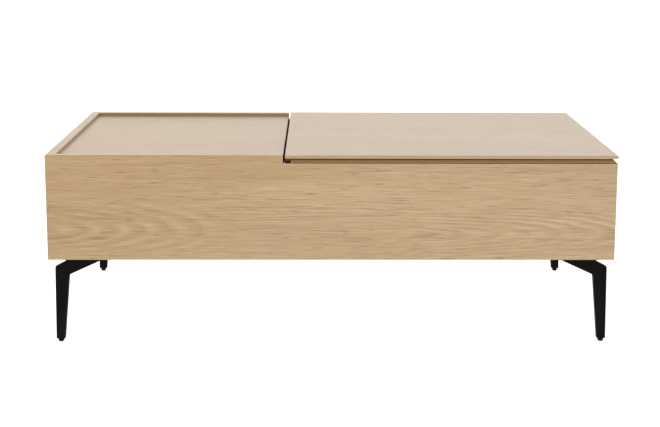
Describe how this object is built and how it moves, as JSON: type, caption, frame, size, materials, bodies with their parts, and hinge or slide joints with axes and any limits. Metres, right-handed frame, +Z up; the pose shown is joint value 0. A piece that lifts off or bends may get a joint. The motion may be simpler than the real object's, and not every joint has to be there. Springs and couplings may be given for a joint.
{
  "type": "lift top coffee table",
  "caption": "Rectangular oak coffee table on bent black metal legs, with a fixed tray at one end and a lid that lifts up and forward over a storage bay.",
  "frame": {"origin": "on the floor, under the centre of the table's bounding box", "axes": "+Z up, X along the table's length with the tray at -X, the front with the lid's travel at -Y"},
  "size_m": [1.101, 0.602, 0.3735],
  "materials": {
    "oak_veneer": "matt lacquered light oak veneer",
    "inner_board": "plain light board",
    "soft_wood": "unfinished softwood",
    "black_steel": "black powder coat",
    "zinc_steel": "bright zinc plate",
    "chromed_rod": "polished chrome",
    "black_plastic": "moulded black",
    "nylon": "natural nylon",
    "rubber_pad": "dark soft pad"
  },
  "bodies": {
    "case": {"back_panel": "oak_veneer", "base_bracket_left": "black_steel", "base_bracket_right": "black_steel", "base_bracket_screws": "zinc_steel", "base_pivot_pins": "zinc_steel", "base_pivot_washers": "nylon", "bottom_panel": "inner_board", "corner_blocks": "soft_wood", "divider": "inner_board", "divider_dowels": "soft_wood", "front_panel": "oak_veneer", "glide_back_left": "black_plastic", "glide_back_right": "black_plastic", "glide_front_left": "black_plastic", "glide_front_right": "black_plastic", "left_panel": "oak_veneer", "leg_back_left": "black_steel", "leg_back_right": "black_steel", "leg_front_left": "black_steel", "leg_front_right": "black_steel", "leg_plate_back_left": "black_steel", "leg_plate_back_right": "black_steel", "leg_plate_front_left": "black_steel", "leg_plate_front_right": "black_steel", "leg_screws": "zinc_steel", "lid_bumpers": "rubber_pad", "right_panel": "oak_veneer", "strut_base_pins": "zinc_steel", "tray_batten_back": "soft_wood", "tray_batten_front": "soft_wood", "tray_batten_left": "soft_wood", "tray_board": "oak_veneer", "tray_screws": "zinc_steel"},
    "front_arms": {"front_arm_left": "black_steel", "front_arm_right": "black_steel", "cross_tube": "black_steel", "cross_tube_plugs": "black_plastic", "cross_tube_bolts": "zinc_steel", "strut_arm_pins": "zinc_steel"},
    "rear_arm_left": {"rear_arm_left": "black_steel"},
    "rear_arm_right": {"rear_arm_right": "black_steel"},
    "lid": {"lid_panel": "oak_veneer", "top_bracket_left": "black_steel", "top_bracket_right": "black_steel", "top_bracket_screws": "zinc_steel", "top_pivot_pins": "zinc_steel", "top_pivot_washers": "nylon"},
    "strut_tube_left": {"strut_tube_left": "black_steel", "strut_tube_eye_left": "zinc_steel", "strut_gland_left": "black_plastic"},
    "strut_rod_left": {"strut_rod_left": "chromed_rod", "strut_rod_eye_left": "zinc_steel", "strut_piston_left": "black_plastic"},
    "strut_tube_right": {"strut_tube_right": "black_steel", "strut_tube_eye_right": "zinc_steel", "strut_gland_right": "black_plastic"},
    "strut_rod_right": {"strut_rod_right": "chromed_rod", "strut_rod_eye_right": "zinc_steel", "strut_piston_right": "black_plastic"}
  },
  "joints": [
    {"name": "lift", "type": "hinge", "parent": "case", "child": "front_arms", "pos_m": [0, -0.15, 0.2886], "axis": [1, 0, 0], "range_deg": [0, 88]},
    {"name": "lid_level", "type": "hinge", "parent": "front_arms", "child": "lid", "pos_m": [0, 0.08476, 0.3385], "axis": [1, 0, 0], "range_deg": [-88, 0]},
    {"name": "rear_arm_left_turn", "type": "hinge", "parent": "case", "child": "rear_arm_left", "pos_m": [0, -0.08, 0.2486], "axis": [1, 0, 0], "range_deg": [0, 88]},
    {"name": "strut_tube_left_turn", "type": "hinge", "parent": "case", "child": "strut_tube_left", "pos_m": [0, -0.13129, 0.20057], "axis": [1, 0, 0], "range_deg": [0, 44]},
    {"name": "strut_rod_left_turn", "type": "hinge", "parent": "front_arms", "child": "strut_rod_left", "pos_m": [0, -0.06197, 0.30731], "axis": [1, 0, 0], "range_deg": [-44, 0]},
    {"name": "rear_arm_right_turn", "type": "hinge", "parent": "case", "child": "rear_arm_right", "pos_m": [0, -0.08, 0.2486], "axis": [1, 0, 0], "range_deg": [0, 88]},
    {"name": "strut_tube_right_turn", "type": "hinge", "parent": "case", "child": "strut_tube_right", "pos_m": [0, -0.13129, 0.20057], "axis": [1, 0, 0], "range_deg": [0, 44]},
    {"name": "strut_rod_right_turn", "type": "hinge", "parent": "front_arms", "child": "strut_rod_right", "pos_m": [0, -0.06197, 0.30731], "axis": [1, 0, 0], "range_deg": [-44, 0]}
  ],
  "couplings": [
    {"joint": "lid_level", "follows": "lift", "ratio": -1},
    {"joint": "rear_arm_left_turn", "follows": "lift", "ratio": 1},
    {"joint": "strut_tube_left_turn", "follows": "lift", "ratio": 0.5},
    {"joint": "strut_rod_left_turn", "follows": "lift", "ratio": -0.5},
    {"joint": "rear_arm_right_turn", "follows": "lift", "ratio": 1},
    {"joint": "strut_tube_right_turn", "follows": "lift", "ratio": 0.5},
    {"joint": "strut_rod_right_turn", "follows": "lift", "ratio": -0.5}
  ]
}
